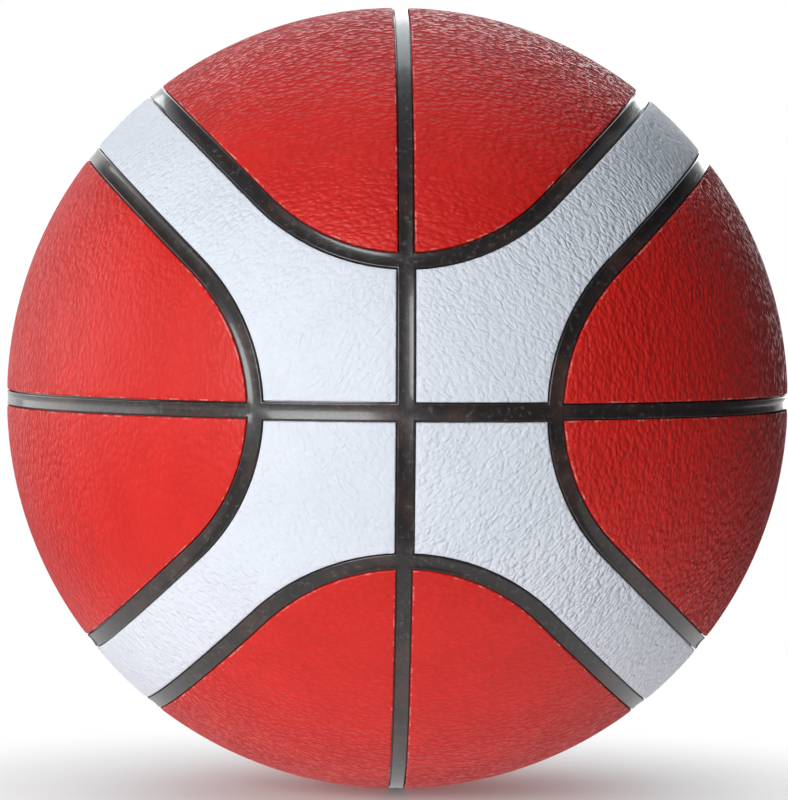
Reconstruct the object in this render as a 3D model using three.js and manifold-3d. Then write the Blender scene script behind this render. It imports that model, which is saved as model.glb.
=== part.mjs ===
// A size 7 basketball: twelve cover panels bonded into a ribbed rubber carcass, over a thread winding and
// an air bladder, with a valve plug that can be drawn out. Millimetres, +Z up, origin at the ball's centre.
// The Y axis is the pole axis: the straight ribs cross at the front pole (-Y) and at the rear pole (+Y),
// where the valve sits.
import * as THREE from 'three';
import { mergeVertices, toCreasedNormals } from 'three/addons/utils/BufferGeometryUtils.js';
import Module from 'manifold-3d';

// Ball and layers, from the outside in
const ballDiameter = 242;
const panelThickness = 1.6;
const carcassWall = 1.4;
const windingThickness = 0.5;
const bladderWall = 0.7;
const fitGap = 0.3; // between pieces that seat on each other

// Panel layout on the surface
const whiteEdgeOffset = 2.9; // from the middle of a rib to the edge of a white panel
const redEdgeOffset = 2.45; // from the middle of a rib to the edge of a red panel
const loopReach = 43.8; // from the pole axis to the middle of a loop rib, where a straight rib crosses it
const bandHalfWidth = 13.7; // from the diagonal plane to the middle of a loop rib, along a white waist
const panelEdgeRadius = 0.6;
const ribClearance = 0.35; // between a rib and the panel edges beside it
const ribDepth = 0.32; // from the panels' surface down to the middle of a rib
const ribDish = 0.2; // by which a rib's middle lies below its edges
const ribEdgeRadius = 0.35;

// Valve at the rear pole
const plugDiameter = 5.4;
const plugRecess = 0.3; // below the ribs' edges
const plugChamfer = 0.4;
const noseTaper = 3; // length of the plug's narrowed inner end
const noseNarrowing = 0.7; // on each side
const needleHoleDiameter = 1.4;
const funnelFlare = 0.6; // round the needle hole's mouth
const funnelDepth = 1.2;
const bossWall = 1.2; // carcass rubber round the valve hole
const sleeveWall = 2;
const sleeveTipWall = 1.4;
const sleeveDepth = 20; // inside the bladder
const sleeveEndWall = 2;
const flangeDiameter = 28;
const flangeThickness = 1.2;

// Balance patch at the front pole
const patchDiameter = 32;
const patchThickness = 2.6;
const patchBevel = 1;

// Facets
const edgeSteps = 10; // along a panel's edge, from a straight rib to the equator
const whiteCells = 2; // across half a white panel
const redCells = 4; // across a red panel
const roundSegments = 20; // about the pole axis
const shellRings = 8; // between the balance patch and the valve flange

// Radii of the layers
const ballRadius = ballDiameter / 2;
const panelInnerRadius = ballRadius - panelThickness;
const floorRadius = panelInnerRadius - fitGap;
const carcassInnerRadius = floorRadius - carcassWall;
const windingOuterRadius = carcassInnerRadius - fitGap;
const windingInnerRadius = windingOuterRadius - windingThickness;
const bladderOuterRadius = windingInnerRadius - fitGap;
const bladderInnerRadius = bladderOuterRadius - bladderWall;
const liningRadius = bladderInnerRadius - fitGap; // pieces bonded inside the bladder
const ribMiddleRadius = ballRadius - ribDepth;
const ribTopRadius = ribMiddleRadius + ribDish;

// Edge rounds stay within the wall that they round
const mostOfWall = 0.7;
const panelRound = Math.min(panelEdgeRadius, mostOfWall * panelThickness);
const ribRound = Math.min(ribEdgeRadius, mostOfWall * (ribTopRadius - floorRadius));

const eighthTurn = Math.PI / 4;
const quarterTurn = Math.PI / 2;
const { lerp } = THREE.MathUtils;

const wasm = await Module();
wasm.setup();

// Solids

// A closed geometry as a solid that can be joined and cut
function solidFrom(geometry) {
  const shape = new THREE.BufferGeometry();
  shape.setAttribute('position', geometry.getAttribute('position'));
  shape.setIndex(geometry.index);
  const merged = mergeVertices(shape);
  const triVerts = [];
  for (let i = 0; i < merged.index.count; i += 3) {
    const corners = [0, 1, 2].map((k) => merged.index.getX(i + k));
    if (new Set(corners).size === 3) {
      triVerts.push(...corners);
    }
  }
  const vertProperties = merged.getAttribute('position').array;
  const mesh = new wasm.Mesh({ numProp: 3, vertProperties, triVerts: new Uint32Array(triVerts) });
  return new wasm.Manifold(mesh);
}

function geometryFrom(solid) {
  const { vertProperties, triVerts } = solid.getMesh();
  const geometry = new THREE.BufferGeometry();
  geometry.setAttribute('position', new THREE.BufferAttribute(vertProperties, 3));
  geometry.setIndex(new THREE.BufferAttribute(triVerts, 1));
  return toCreasedNormals(geometry, eighthTurn);
}

// A solid turned about the pole axis from [radius, height] points that run up its outer side
function turned(profile) {
  const points = profile.map(([radius, height]) => new THREE.Vector2(radius, height));
  return solidFrom(new THREE.LatheGeometry(points, roundSegments));
}

// A round rod along the pole axis
const rod = (radius, from, to) => turned([[0, from], [radius, from], [radius, to], [0, to]]);

const heightOnSphere = (sphereRadius, radius) => Math.sqrt(sphereRadius ** 2 - radius ** 2);

// Lines of the panel layout, on a unit sphere. Only one sixteenth of the ball is drawn: the part of the front
// half between the upper straight rib (x = 0) and the diagonal (x = z). The rest is its mirror images.

const bandOffset = bandHalfWidth / ballRadius;
const reach = loopReach / ballRadius;
const bendRadius = (reach - bandOffset * Math.SQRT2) / (Math.SQRT2 - 1); // makes the arc meet the waist line
const bandRadius = Math.sqrt(1 - bandOffset ** 2);
const bendEnd = bendRadius / Math.SQRT2;
const bandStart = Math.asin((bendEnd * Math.SQRT2 + bandOffset) / bandRadius);
const arcLength = bendRadius * eighthTurn;
const arcShare = arcLength / (arcLength + bandRadius * (quarterTurn - bandStart)); // of the seam's parameter

// The middle of a loop rib, from the straight rib to the equator. Seen along the pole axis it is an arc that
// runs into a straight line at 45 degrees.
class LoopSeam extends THREE.Curve {
  getPoint(t) {
    if (t < arcShare) {
      const turn = (t / arcShare) * eighthTurn;
      const x = bendRadius * Math.sin(turn);
      const z = reach + bendRadius * (1 - Math.cos(turn));
      return new THREE.Vector3(x, -Math.sqrt(1 - x * x - z * z), z);
    }
    const lean = lerp(bandStart, quarterTurn, (t - arcShare) / (1 - arcShare));
    const along = bandRadius * Math.sin(lean);
    const x = (along - bandOffset) / Math.SQRT2;
    const z = (along + bandOffset) / Math.SQRT2;
    return new THREE.Vector3(x, -bandRadius * Math.cos(lean), z);
  }
}

const seam = new LoopSeam();
const seamStep = 1e-5;
const startHalvings = 50;

// The point beside the seam at a distance in millimetres, towards the white panel
function besideSeam(t, distance) {
  const point = seam.getPoint(t);
  const along = seam.getPoint(t + seamStep).sub(seam.getPoint(t - seamStep));
  const side = along.cross(point).normalize();
  const angle = distance / ballRadius;
  return point.multiplyScalar(Math.cos(angle)).addScaledVector(side, Math.sin(angle));
}

// The line beside the seam, from the edge of the straight rib at x = railX to the equator
class LoopEdge extends THREE.Curve {
  constructor(distance, railX) {
    super();
    this.distance = distance;
    this.start = 0;
    let beyond = arcShare;
    for (let halving = 0; halving < startHalvings; halving += 1) {
      const middle = (this.start + beyond) / 2;
      if (besideSeam(middle, distance).x < railX) {
        this.start = middle;
      } else {
        beyond = middle;
      }
    }
  }

  getPoint(t) {
    return besideSeam(lerp(this.start, 1, t), this.distance);
  }
}

// Points beside the straight rib lie at x = railX, at a turn about X from the front pole
function railPoint(railX, turn) {
  const radius = Math.sqrt(1 - railX * railX);
  return new THREE.Vector3(railX, -radius * Math.cos(turn), radius * Math.sin(turn));
}

const turnOf = (point) => Math.atan2(point.z, -point.y);
const railFor = (inset) => Math.sin(inset / ballRadius);

function pointsAcross(from, to, cells) {
  return Array.from({ length: cells + 1 }, (_, i) => from.clone().lerp(to, i / cells).normalize());
}

// A patch is a grid of rows, whose quads face out, and its rim: the edge beside the loop rib and the edge
// beside the straight rib, each run through with the panel on its left.

// Half of a white panel's front half, drawn in by inset from the middle of the ribs
function whitePatch(inset) {
  const railX = railFor(inset);
  const loopLine = new LoopEdge(inset, railX).getSpacedPoints(edgeSteps);
  const tip = Math.asin(Math.SQRT2 * railX);
  const rows = loopLine.map((edge, j) => {
    const polar = lerp(tip, quarterTurn, j / edgeSteps);
    const onDiagonal = Math.sin(polar) / Math.SQRT2;
    const middle = new THREE.Vector3(onDiagonal, -Math.cos(polar), onDiagonal);
    return pointsAcross(middle, edge, whiteCells);
  });
  const firstTurn = turnOf(rows[0][0]);
  const lastTurn = turnOf(loopLine[0]);
  rows[0] = rows[0].map((_, i) => railPoint(railX, lerp(firstTurn, lastTurn, i / whiteCells)));
  return { rows, loopSide: loopLine.toReversed(), railSide: rows[0].toReversed() };
}

// The front half of a red panel
function redPatch(inset) {
  const railX = railFor(inset);
  const loopLine = new LoopEdge(-inset, railX).getSpacedPoints(edgeSteps);
  const firstTurn = turnOf(loopLine[0]);
  const railLine = loopLine.map((_, j) => railPoint(railX, lerp(firstTurn, quarterTurn, j / edgeSteps)));
  const rows = loopLine.map((edge, j) => pointsAcross(edge, railLine[j], redCells));
  return { rows, loopSide: loopLine, railSide: railLine.toReversed() };
}

const atRadius = (points, radius) => points.map((point) => point.clone().multiplyScalar(radius));

const acrossDiagonal = ({ x, y, z }) => new THREE.Vector3(z, y, x);
const acrossEquator = ({ x, y, z }) => new THREE.Vector3(x, -y, z);
const leftToRight = ({ x, y, z }) => new THREE.Vector3(-x, y, z);
const topToBottom = ({ x, y, z }) => new THREE.Vector3(x, y, -z);

// Triangles of a sixteenth of the ball, to which mirror images are added
class Surface {
  triangles = [];

  quad(a, b, c, d) {
    this.triangles.push([a, b, c], [a, c, d]);
  }

  face(patch, radius, turnedIn = false) {
    const rows = patch.rows.map((row) => atRadius(row, radius));
    for (let j = 0; j < rows.length - 1; j += 1) {
      for (let i = 0; i < rows[j].length - 1; i += 1) {
        const corners = [rows[j][i], rows[j + 1][i], rows[j + 1][i + 1], rows[j][i + 1]];
        this.quad(...(turnedIn ? corners.toReversed() : corners));
      }
    }
  }

  // A band from one line to the next, which lies to the right of it
  band(line, next) {
    for (let k = 0; k < line.length - 1; k += 1) {
      this.quad(line[k + 1], line[k], next[k], next[k + 1]);
    }
  }

  // A band along a patch's rim, from one inset and radius to another
  rimBand(from, to) {
    for (const side of ['loopSide', 'railSide']) {
      this.band(atRadius(from.patch[side], from.radius), atRadius(to.patch[side], to.radius));
    }
  }

  mirror(image) {
    const images = this.triangles.map(([a, b, c]) => [image(a), image(c), image(b)]);
    this.triangles.push(...images);
  }

  solid() {
    return solidFrom(new THREE.BufferGeometry().setFromPoints(this.triangles.flat()));
  }
}

// Cover panels

// A panel's outer face, rolled edge, wall and bonded inner face, on one sixteenth of the ball
function panelSurface(patchAt, edgeOffset) {
  const wall = { patch: patchAt(edgeOffset), radius: panelInnerRadius };
  const rolledEdge = [0, eighthTurn, quarterTurn].map((turn) => ({
    patch: patchAt(edgeOffset + panelRound * (1 - Math.cos(turn))),
    radius: ballRadius - panelRound * (1 - Math.sin(turn)),
  }));
  const rings = [wall, ...rolledEdge];
  const surface = new Surface();
  surface.face(wall.patch, wall.radius, true);
  for (let k = 0; k < rings.length - 1; k += 1) {
    surface.rimBand(rings[k + 1], rings[k]);
  }
  surface.face(rings.at(-1).patch, ballRadius);
  return surface;
}

const boreRadius = plugDiameter / 2 + fitGap; // of the valve hole and the housing
const bossRadius = boreRadius + bossWall;

// A white panel runs from pole to pole. Its rear tip is cut back from the boss round the valve hole.
function whitePanel() {
  const surface = panelSurface(whitePatch, whiteEdgeOffset);
  surface.mirror(acrossDiagonal);
  surface.mirror(acrossEquator);
  const bossClearance = rod(bossRadius + fitGap, carcassInnerRadius, ballDiameter);
  return geometryFrom(surface.solid().subtract(bossClearance));
}

function redPanel() {
  const surface = panelSurface(redPatch, redEdgeOffset);
  surface.mirror(acrossEquator);
  return geometryFrom(surface.solid());
}

// Shells about the pole axis share their ring angles, so that the gaps between them stay even

const neckRadius = boreRadius + sleeveWall;
const angleAt = (radius) => Math.asin(radius / bladderInnerRadius);
const firstRing = angleAt(patchDiameter / 2 + fitGap);
const lastRing = Math.PI - angleAt(flangeDiameter / 2 + fitGap);
const evenRings = Array.from({ length: shellRings + 1 }, (_, i) => lerp(firstRing, lastRing, i / shellRings));
const ringAngles = [0, ...evenRings, Math.PI - angleAt(neckRadius + fitGap)];

const ringsOf = (radius) => ringAngles.map((polar) => [radius * Math.sin(polar), -radius * Math.cos(polar)]);

// A hollow shell, open round the valve's neck
const shell = (outer, inner) => geometryFrom(turned([...ringsOf(outer), ...ringsOf(inner).toReversed()]));

// Carcass: pockets for the panels between dished ribs, in one piece, with a boss round the valve hole
function carcass() {
  const surface = new Surface();
  const wallLine = {};
  const topLine = {};
  const kinds = [['white', whitePatch, whiteEdgeOffset], ['red', redPatch, redEdgeOffset]];
  for (const [name, patchAt, edgeOffset] of kinds) {
    const ribSide = edgeOffset - ribClearance;
    const pocket = { patch: patchAt(ribSide), radius: floorRadius };
    wallLine[name] = { patch: pocket.patch, radius: ribTopRadius - ribRound };
    topLine[name] = { patch: patchAt(ribSide - ribRound), radius: ribTopRadius };
    surface.face(pocket.patch, pocket.radius);
    surface.rimBand(pocket, wallLine[name]);
    surface.rimBand(wallLine[name], topLine[name]);
  }
  const railX = railFor((whiteEdgeOffset + redEdgeOffset) / 2 - ribClearance - ribRound);
  const middleLine = atRadius(new LoopEdge(0, railX).getSpacedPoints(edgeSteps), ribMiddleRadius);
  const topOf = (name, side) => atRadius(topLine[name].patch[side], topLine[name].radius);
  surface.band(topOf('white', 'loopSide'), middleLine.toReversed());
  surface.band(topOf('red', 'loopSide'), middleLine);
  const railTop = [...topOf('red', 'railSide'), middleLine[0], ...topOf('white', 'railSide')];
  const railMiddle = railTop.map(({ y, z }) => new THREE.Vector3(0, y, z).setLength(ribMiddleRadius));
  surface.band(railTop, railMiddle);
  surface.triangles.push([railTop.at(-1), railMiddle.at(-1), new THREE.Vector3(0, -ribMiddleRadius, 0)]);
  for (const image of [acrossDiagonal, leftToRight, topToBottom, acrossEquator]) {
    surface.mirror(image);
  }
  const bossFoot = (carcassInnerRadius + floorRadius) / 2;
  const boss = rod(bossRadius, bossFoot, ribTopRadius);
  const hollow = turned([...ringsOf(carcassInnerRadius), [0, carcassInnerRadius]]);
  const hole = rod(boreRadius, 0, ballDiameter);
  return geometryFrom(surface.solid().add(boss).subtract(hollow).subtract(hole));
}

// Valve

const sleeveEnd = liningRadius - sleeveDepth;
const sleeveStep = sleeveEnd + sleeveEndWall; // the plug's seat in the sleeve
const needleRadius = needleHoleDiameter / 2;

// A flanged sleeve: the flange lines the bladder, the neck reaches out to the carcass
function valveHousing() {
  const flangeRadius = flangeDiameter / 2;
  const outlet = needleRadius + fitGap;
  const neckTop = heightOnSphere(carcassInnerRadius, neckRadius) - fitGap;
  const flangeTop = heightOnSphere(liningRadius, neckRadius);
  const flangeEdge = heightOnSphere(liningRadius, flangeRadius);
  return geometryFrom(turned([
    [outlet, sleeveEnd],
    [boreRadius + sleeveTipWall, sleeveEnd],
    [neckRadius, flangeTop - flangeThickness],
    [flangeRadius, flangeEdge - flangeThickness],
    [flangeRadius, flangeEdge],
    [neckRadius, flangeTop],
    [neckRadius, neckTop],
    [boreRadius, neckTop],
    [boreRadius, sleeveStep],
    [outlet, sleeveStep],
    [outlet, sleeveEnd],
  ]));
}

// The soft core with the needle's channel, held in the sleeve by its grip
function valvePlug() {
  const radius = plugDiameter / 2;
  const nose = sleeveStep + fitGap;
  const top = ribTopRadius - plugRecess;
  return geometryFrom(turned([
    [needleRadius, nose],
    [radius - noseNarrowing, nose],
    [radius, nose + noseTaper],
    [radius, top - plugChamfer],
    [radius - plugChamfer, top],
    [needleRadius + funnelFlare, top],
    [needleRadius, top - funnelDepth],
    [needleRadius, nose],
  ]));
}

// A rubber disc bonded inside the bladder, opposite the valve
function balancePatch() {
  const radius = patchDiameter / 2;
  const inner = liningRadius - patchThickness;
  return geometryFrom(turned([
    [0, -liningRadius],
    [radius, -heightOnSphere(liningRadius, radius)],
    [radius - patchBevel, -heightOnSphere(inner, radius - patchBevel)],
    [0, -inner],
  ]));
}

// Assembly

const finish = (color, roughness) => new THREE.MeshStandardMaterial({ color, roughness, metalness: 0 });
const finishes = {
  white: () => finish('#e4e8ee', 0.5),
  red: () => finish('#c4261f', 0.48),
  carcass: () => finish('#2e2928', 0.5),
  winding: () => finish('#d8d2c2', 0.8),
  bladder: () => finish('#1e1e20', 0.45),
  valve: () => finish('#3a3636', 0.6),
  patch: () => finish('#29292b', 0.6),
};

function piece(name, geometry, material) {
  const mesh = new THREE.Mesh(geometry, material);
  mesh.name = name;
  return mesh;
}

const basketball = new THREE.Group();
basketball.add(
  piece('bladder', shell(bladderOuterRadius, bladderInnerRadius), finishes.bladder()),
  piece('thread_winding', shell(windingOuterRadius, windingInnerRadius), finishes.winding()),
  piece('carcass', carcass(), finishes.carcass()),
  piece('valve_housing', valveHousing(), finishes.valve()),
  piece('valve_plug', valvePlug(), finishes.valve()),
  piece('balance_patch', balancePatch(), finishes.patch()),
);

// A quarter turn about the pole axis carries the panels of the top loop to the right, bottom and left loops
const whiteGeometry = whitePanel();
const redGeometry = redPanel();
const quarters = [
  { white: 'upper_right', reds: ['top_right', 'top_left'] },
  { white: 'lower_right', reds: ['right_lower', 'right_upper'] },
  { white: 'lower_left', reds: ['bottom_left', 'bottom_right'] },
  { white: 'upper_left', reds: ['left_upper', 'left_lower'] },
];
quarters.forEach(({ white, reds }, index) => {
  const quarter = new THREE.Group();
  quarter.rotation.y = index * quarterTurn;
  quarter.add(piece(`white_panel_${white}`, whiteGeometry, finishes.white()));
  reds.forEach((place, half) => {
    const panel = piece(`red_panel_${place}`, redGeometry, finishes.red());
    panel.rotation.z = half * Math.PI;
    quarter.add(panel);
  });
  basketball.add(quarter);
});

export default basketball;
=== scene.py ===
import math

import bmesh
import bpy
import numpy as np
from mathutils import Matrix, Vector


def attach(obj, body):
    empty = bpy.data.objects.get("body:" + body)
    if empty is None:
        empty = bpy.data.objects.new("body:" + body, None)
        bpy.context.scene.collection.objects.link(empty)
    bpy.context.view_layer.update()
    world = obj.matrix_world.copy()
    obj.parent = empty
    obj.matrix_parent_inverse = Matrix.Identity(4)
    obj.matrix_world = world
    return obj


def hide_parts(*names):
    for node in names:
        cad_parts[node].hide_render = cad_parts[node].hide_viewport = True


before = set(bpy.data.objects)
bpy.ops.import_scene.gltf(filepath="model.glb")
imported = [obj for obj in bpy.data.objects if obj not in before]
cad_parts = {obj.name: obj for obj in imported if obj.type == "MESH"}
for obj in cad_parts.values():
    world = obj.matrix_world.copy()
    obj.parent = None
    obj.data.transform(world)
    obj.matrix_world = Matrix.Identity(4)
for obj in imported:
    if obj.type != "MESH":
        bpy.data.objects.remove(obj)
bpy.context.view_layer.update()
print("frame: loaded", len(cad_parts), "solids")

# sizes in millimetres, the same as the solids have; pieces are made in mm and their meshes are in metres
ball = {
    "radius": 121.0,
    "panelBack": 119.4,
    "pocketFloor": 119.1,
    "carcassInside": 117.7,
    "ribTop": 120.88,
    "whiteEdge": 2.9,    # from the middle of a rib to the edge of a panel
    "redEdge": 2.45,
    "fitGap": 0.3,
    "loopReach": 43.8,
    "bandHalfWidth": 13.7,
}
fineness = {
    "seamStep": 1e-5,        # along a seam, to find its direction
    "halvings": 50,          # in the search for where a panel's edge meets its straight side
    "edgeSamples": 800,
    "weldWithin": 2e-7,      # metres
}
metre = 0.001
root2 = math.sqrt(2)
halfPi = math.pi / 2


# panel layout on a unit sphere: one sixteenth of the ball, the rest is mirrored or turned from it
bandOffset = ball["bandHalfWidth"] / ball["radius"]
reach = ball["loopReach"] / ball["radius"]
bendRadius = (reach - bandOffset * root2) / (root2 - 1)
bandRadius = math.sqrt(1 - bandOffset ** 2)
bandStart = math.asin((bendRadius + bandOffset) / bandRadius)
arcLength = bendRadius * math.pi / 4
arcShare = arcLength / (arcLength + bandRadius * (halfPi - bandStart))


def seamPoints(t):  # middle of a loop rib, from the straight rib to the equator
    turn = t / arcShare * math.pi / 4
    arcX = bendRadius * np.sin(turn)
    arcZ = reach + bendRadius * (1 - np.cos(turn))
    lean = bandStart + (halfPi - bandStart) * (t - arcShare) / (1 - arcShare)
    along = bandRadius * np.sin(lean)
    onArc = t < arcShare
    x = np.where(onArc, arcX, (along - bandOffset) / root2)
    y = np.where(onArc, -np.sqrt(np.clip(1 - arcX ** 2 - arcZ ** 2, 0, 1)), -bandRadius * np.cos(lean))
    z = np.where(onArc, arcZ, (along + bandOffset) / root2)
    return np.stack([x, y, z], axis=-1)


def besideSeam(t, distance):  # distance in mm, towards the white panel
    point = seamPoints(t)
    step = fineness["seamStep"]
    side = np.cross(seamPoints(t + step) - seamPoints(t - step), point)
    side /= np.linalg.norm(side, axis=-1, keepdims=True)
    angle = distance / ball["radius"]
    return point * math.cos(angle) + side * math.sin(angle)


def loopEdge(distance, railX, steps):
    low, high = 0.0, arcShare
    for halving in range(fineness["halvings"]):
        middle = (low + high) / 2
        if besideSeam(np.array([middle]), distance)[0, 0] < railX:
            low = middle
        else:
            high = middle
    fineT = np.linspace(low, 1, fineness["edgeSamples"])
    fine = besideSeam(fineT, distance)
    run = np.concatenate([[0], np.cumsum(np.linalg.norm(np.diff(fine, axis=0), axis=1))])
    return besideSeam(np.interp(np.linspace(0, run[-1], steps + 1), run, fineT), distance)


def railPoints(railX, turns):  # beside the straight rib, at turns about X from the front pole
    radius = math.sqrt(1 - railX ** 2)
    return np.stack([np.full_like(turns, railX), -radius * np.cos(turns), radius * np.sin(turns)], axis=-1)


def turnOf(point):
    return math.atan2(point[2], -point[1])


def rowsBetween(first, last, cells):
    share = np.linspace(0, 1, cells + 1)[None, :, None]
    rows = first[:, None, :] * (1 - share) + last[:, None, :] * share
    return rows / np.linalg.norm(rows, axis=-1, keepdims=True)


def whitePatch(inset, steps, cells):
    railX = math.sin(inset / ball["radius"])
    edge = loopEdge(inset, railX, steps)
    polar = np.linspace(math.asin(root2 * railX), halfPi, steps + 1)
    middle = np.stack([np.sin(polar) / root2, -np.cos(polar), np.sin(polar) / root2], axis=-1)
    rows = rowsBetween(middle, edge, cells)
    rows[0] = railPoints(railX, np.linspace(turnOf(middle[0]), turnOf(edge[0]), cells + 1))
    return {"rows": rows, "rims": [rows[:, -1], rows[0]]}


def redPatch(inset, steps, cells):
    railX = math.sin(inset / ball["radius"])
    edge = loopEdge(-inset, railX, steps)
    rail = railPoints(railX, np.linspace(turnOf(edge[0]), halfPi, steps + 1))
    rows = rowsBetween(edge, rail, cells)
    return {"rows": rows, "rims": [rows[:, 0], rows[:, -1]]}


# mesh tools: quads are arrays of four corners, each x y z and a fourth value that becomes an attribute
def lifted(points, radius, value=0.0):
    return np.concatenate([points * radius, np.full(points.shape[:-1] + (1,), value)], axis=-1)


def gridQuads(grid):
    return np.stack([grid[:-1, :-1], grid[1:, :-1], grid[1:, 1:], grid[:-1, 1:]], axis=2).reshape(-1, 4, 4)


def bandQuads(ringA, ringB):
    return [gridQuads(np.stack([a, b])) for a, b in zip(ringA, ringB)]


def mirrored(quads, order=(0, 1, 2), signs=(1, 1, 1)):
    image = quads[..., list(order) + [3]] * np.array(list(signs) + [1.0])
    return np.concatenate([quads, image])


def turnedQuads(profile, segments):  # a lathe about the pole axis from [radius, height] points
    angles = np.linspace(0, 2 * math.pi, segments + 1)
    ring = np.array(profile, float)
    grid = np.stack([
        ring[:, None, 0] * np.cos(angles)[None],
        np.repeat(ring[:, 1:2], segments + 1, axis=1),
        ring[:, None, 0] * np.sin(angles)[None],
        np.zeros((len(ring), segments + 1)),
    ], axis=-1)
    return gridQuads(grid)


def arcPoints(radius, fromAngle, toAngle, steps):  # on a sphere, polar angle from the front pole
    return [[radius * math.sin(a), -radius * math.cos(a)] for a in np.linspace(fromAngle, toAngle, steps)]


def roundedCorners(points, radii, steps):  # a closed profile with its corners rounded
    out = []
    count = len(points)
    for k in range(count):
        here, radius = np.array(points[k], float), radii[k]
        before = np.array(points[k - 1], float) - here
        after = np.array(points[(k + 1) % count], float) - here
        if radius <= 0:
            out.append(list(here))
            continue
        longest = 0.45 * min(np.linalg.norm(before), np.linalg.norm(after))    # room for the next corner
        reachIn = min(radius, longest)
        start = here + before / np.linalg.norm(before) * reachIn
        end = here + after / np.linalg.norm(after) * reachIn
        for s in np.linspace(0, 1, steps):
            out.append(list((1 - s) ** 2 * start + 2 * s * (1 - s) * here + s ** 2 * end))
    return out + [out[0]]


def meshFrom(name, quads, attribute=None):
    flat = quads.reshape(-1, 4)
    _, first, index = np.unique(np.round(flat[:, :3], 4), axis=0, return_index=True, return_inverse=True)
    corners = index.reshape(-1, 4)
    faces = []
    for quad in corners.tolist():
        face = [v for k, v in enumerate(quad) if v != quad[k - 1]]
        if len(set(face)) == len(face) and len(face) > 2:
            faces.append(face)
    mesh = bpy.data.meshes.new(name)
    mesh.from_pydata((flat[first, :3] * metre).tolist(), [], faces)
    if attribute:
        values = mesh.attributes.new(attribute, "FLOAT", "POINT")
        values.data.foreach_set("value", flat[first, 3].astype(np.float32))
    work = bmesh.new()
    work.from_mesh(mesh)
    bmesh.ops.remove_doubles(work, verts=work.verts, dist=fineness["weldWithin"])
    bmesh.ops.recalc_face_normals(work, faces=work.faces)
    work.to_mesh(mesh)
    work.free()
    return mesh


def addPiece(name, mesh, material, body, node, sharpAngle=40):
    mesh.shade_smooth()
    mesh.set_sharp_from_angle(angle=math.radians(sharpAngle))
    piece = bpy.data.objects.new(name, mesh)
    bpy.context.scene.collection.objects.link(piece)
    mesh.materials.append(material)
    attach(piece, body)
    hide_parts(node)


# node tools
def addNode(tree, kind, settings=None, **inputs):
    made = tree.nodes.new(kind)
    for key, value in (settings or {}).items():
        setattr(made, key, value)
    for key, value in inputs.items():
        feed(tree, made.inputs[key.replace("_", " ")], value)
    return made


def feed(tree, socket, value):
    if isinstance(value, bpy.types.NodeSocket):
        tree.links.new(value, socket)
    else:
        socket.default_value = value


def maths(tree, operation, *values, clamp=False):
    made = addNode(tree, "ShaderNodeMath", {"operation": operation, "use_clamp": clamp})
    for socket, value in zip(made.inputs, values):
        feed(tree, socket, value)
    return made.outputs[0]


def vectorMaths(tree, operation, *values):
    made = addNode(tree, "ShaderNodeVectorMath", {"operation": operation})
    for socket, value in zip(made.inputs, values):
        feed(tree, socket, value)
    return made.outputs[0]


def scaled(tree, vector, factor):
    made = addNode(tree, "ShaderNodeVectorMath", {"operation": "SCALE"}, Vector=vector, Scale=factor)
    return made.outputs[0]


def ramp(tree, value, low, high, toLow=0.0, toHigh=1.0):
    made = addNode(tree, "ShaderNodeMapRange", {"interpolation_type": "SMOOTHSTEP"}, Value=value)
    for key, number in (("From Min", low), ("From Max", high), ("To Min", toLow), ("To Max", toHigh)):
        feed(tree, made.inputs[key], number)
    return made.outputs[0]


def mixColour(tree, factor, first, second):
    made = addNode(tree, "ShaderNodeMix", {"data_type": "RGBA"})
    feed(tree, made.inputs[0], factor)
    feed(tree, made.inputs[6], first)    # 6, 7 and output 2 are the node's colour sockets
    feed(tree, made.inputs[7], second)
    return made.outputs[2]


def noise(tree, vector, scale, detail=2.0, roughness=0.5):
    made = addNode(tree, "ShaderNodeTexNoise", {"noise_dimensions": "3D"},
                   Vector=vector, Scale=scale, Detail=detail, Roughness=roughness)
    return made.outputs


def cracks(tree, vector, scale):
    made = addNode(tree, "ShaderNodeTexVoronoi", {"feature": "DISTANCE_TO_EDGE"}, Vector=vector, Scale=scale)
    return made.outputs["Distance"]


def pebbles(tree, vector, scale, smoothness):
    made = addNode(tree, "ShaderNodeTexVoronoi", {"feature": "SMOOTH_F1"},
                   Vector=vector, Scale=scale, Smoothness=smoothness)
    return made.outputs["Distance"]


def newGroup(name, inputs, outputs):
    group = bpy.data.node_groups.new(name, "ShaderNodeTree")
    for label, kind, value in inputs:
        socket = group.interface.new_socket(name=label, in_out="INPUT", socket_type=kind)
        if value is not None:
            socket.default_value = value
    for label, kind in outputs:
        group.interface.new_socket(name=label, in_out="OUTPUT", socket_type=kind)
    return group, group.nodes.new("NodeGroupInput").outputs, group.nodes.new("NodeGroupOutput").inputs


def newMaterial(name):
    material = bpy.data.materials.new(name)
    material.use_nodes = True
    tree = material.node_tree
    tree.nodes.clear()
    shader = addNode(tree, "ShaderNodeBsdfPrincipled")
    out = addNode(tree, "ShaderNodeOutputMaterial")
    tree.links.new(shader.outputs[0], out.inputs["Surface"])
    return material, tree, shader


def placeGroup(tree, group, **inputs):
    made = tree.nodes.new("ShaderNodeGroup")
    made.node_tree = group
    for key, value in inputs.items():
        feed(tree, made.inputs[key.replace("_", " ")], value)
    return made.outputs


floatSocket, vectorSocket = "NodeSocketFloat", "NodeSocketVector"
middleGrey = (0.5, 0.5, 0.5)    # what a colour noise wavers about
perMetre = 1000.0               # object coordinates to mm


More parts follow.
